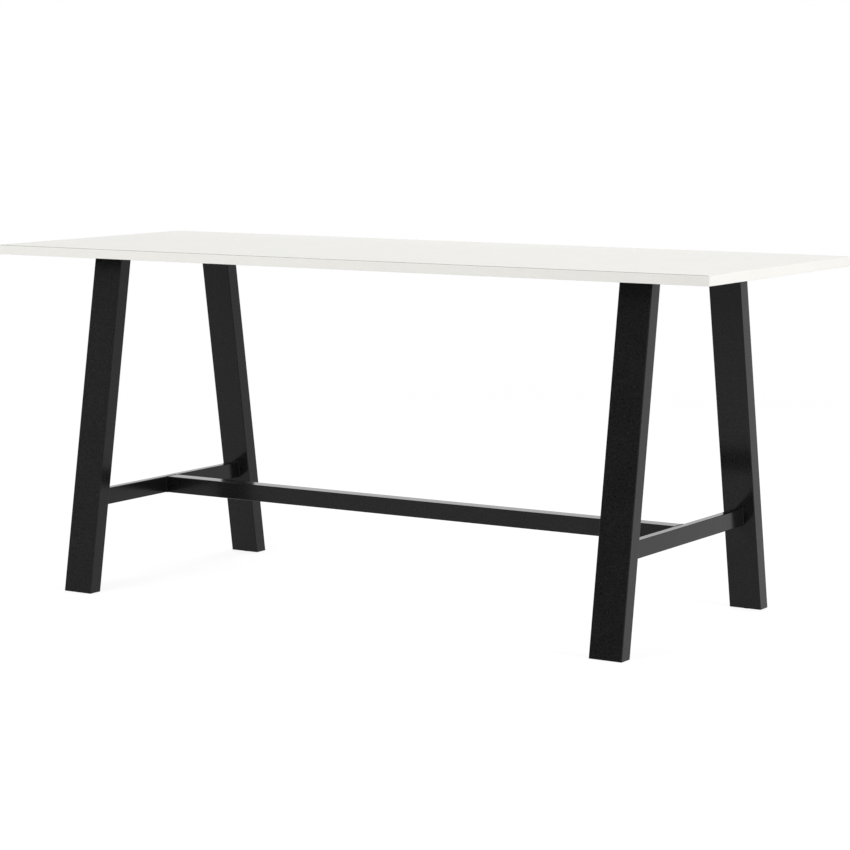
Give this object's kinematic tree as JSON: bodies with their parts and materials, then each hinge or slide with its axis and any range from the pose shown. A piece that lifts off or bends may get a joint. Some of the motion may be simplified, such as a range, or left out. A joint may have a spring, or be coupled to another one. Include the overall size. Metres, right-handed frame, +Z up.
{
  "type": "bar table",
  "caption": "Bar-height rectangular table: white laminate top on two leaning-leg steel A-frames joined by a low foot rail, with levelling glides inside the leg ends.",
  "frame": {"origin": "on the floor, under the middle of the top", "axes": "+X along the long side, +Y towards the back, +Z up; the front long side faces -Y"},
  "size_m": [2.438, 0.914, 1.054],
  "materials": {
    "white_laminate": "fine matte high-pressure laminate",
    "white_edge_band": "matte edge band",
    "board_core": "particle board",
    "backer": "plain balancing sheet",
    "black_powder_coat": "satin powder coat",
    "zinc_steel": "bright zinc plate",
    "black_screw_steel": "black oxide",
    "glide_nylon": "moulded nylon"
  },
  "bodies": {
    "table": {"top_core": "board_core", "top_laminate": "white_laminate", "backer_sheet": "backer", "front_edge_band": "white_edge_band", "back_edge_band": "white_edge_band", "left_edge_band": "white_edge_band", "right_edge_band": "white_edge_band", "left_cross_rail": "black_powder_coat", "right_cross_rail": "black_powder_coat", "left_mounting_plate": "black_powder_coat", "right_mounting_plate": "black_powder_coat", "foot_rail": "black_powder_coat", "left_rail_bracket": "black_powder_coat", "right_rail_bracket": "black_powder_coat", "plate_screws": "zinc_steel", "rail_screws": "black_screw_steel", "rail_nuts": "zinc_steel", "foot_nuts": "zinc_steel", "front_left_leg": "black_powder_coat", "front_left_foot_plate": "black_powder_coat", "back_left_leg": "black_powder_coat", "back_left_foot_plate": "black_powder_coat", "front_right_leg": "black_powder_coat", "front_right_foot_plate": "black_powder_coat", "back_right_leg": "black_powder_coat", "back_right_foot_plate": "black_powder_coat"},
    "front_left_pad": {"front_left_glide_pad": "glide_nylon"},
    "front_left_stem": {"front_left_glide_stem": "zinc_steel"},
    "back_left_pad": {"back_left_glide_pad": "glide_nylon"},
    "back_left_stem": {"back_left_glide_stem": "zinc_steel"},
    "front_right_pad": {"front_right_glide_pad": "glide_nylon"},
    "front_right_stem": {"front_right_glide_stem": "zinc_steel"},
    "back_right_pad": {"back_right_glide_pad": "glide_nylon"},
    "back_right_stem": {"back_right_glide_stem": "zinc_steel"}
  },
  "joints": [
    {"name": "front_left_glide_travel", "type": "slide", "parent": "table", "child": "front_left_pad", "axis": [0, 0, -1], "range_m": [0, 0.012]},
    {"name": "front_left_stem_turn", "type": "hinge", "parent": "front_left_pad", "child": "front_left_stem", "pos_m": [-0.9152, -0.43037, 0.0135], "axis": [0, 0, -1], "range_deg": [0, 2880]},
    {"name": "back_left_glide_travel", "type": "slide", "parent": "table", "child": "back_left_pad", "axis": [0, 0, -1], "range_m": [0, 0.012]},
    {"name": "back_left_stem_turn", "type": "hinge", "parent": "back_left_pad", "child": "back_left_stem", "pos_m": [-0.9152, 0.43037, 0.0135], "axis": [0, 0, -1], "range_deg": [0, 2880]},
    {"name": "front_right_glide_travel", "type": "slide", "parent": "table", "child": "front_right_pad", "axis": [0, 0, -1], "range_m": [0, 0.012]},
    {"name": "front_right_stem_turn", "type": "hinge", "parent": "front_right_pad", "child": "front_right_stem", "pos_m": [0.9152, -0.43037, 0.0135], "axis": [0, 0, -1], "range_deg": [0, 2880]},
    {"name": "back_right_glide_travel", "type": "slide", "parent": "table", "child": "back_right_pad", "axis": [0, 0, -1], "range_m": [0, 0.012]},
    {"name": "back_right_stem_turn", "type": "hinge", "parent": "back_right_pad", "child": "back_right_stem", "pos_m": [0.9152, 0.43037, 0.0135], "axis": [0, 0, -1], "range_deg": [0, 2880]}
  ],
  "couplings": [
    {"joint": "front_left_stem_turn", "follows": "front_left_glide_travel", "rad_per_m": 4188.8},
    {"joint": "back_left_stem_turn", "follows": "back_left_glide_travel", "rad_per_m": 4188.8},
    {"joint": "front_right_stem_turn", "follows": "front_right_glide_travel", "rad_per_m": 4188.8},
    {"joint": "back_right_stem_turn", "follows": "back_right_glide_travel", "rad_per_m": 4188.8}
  ]
}
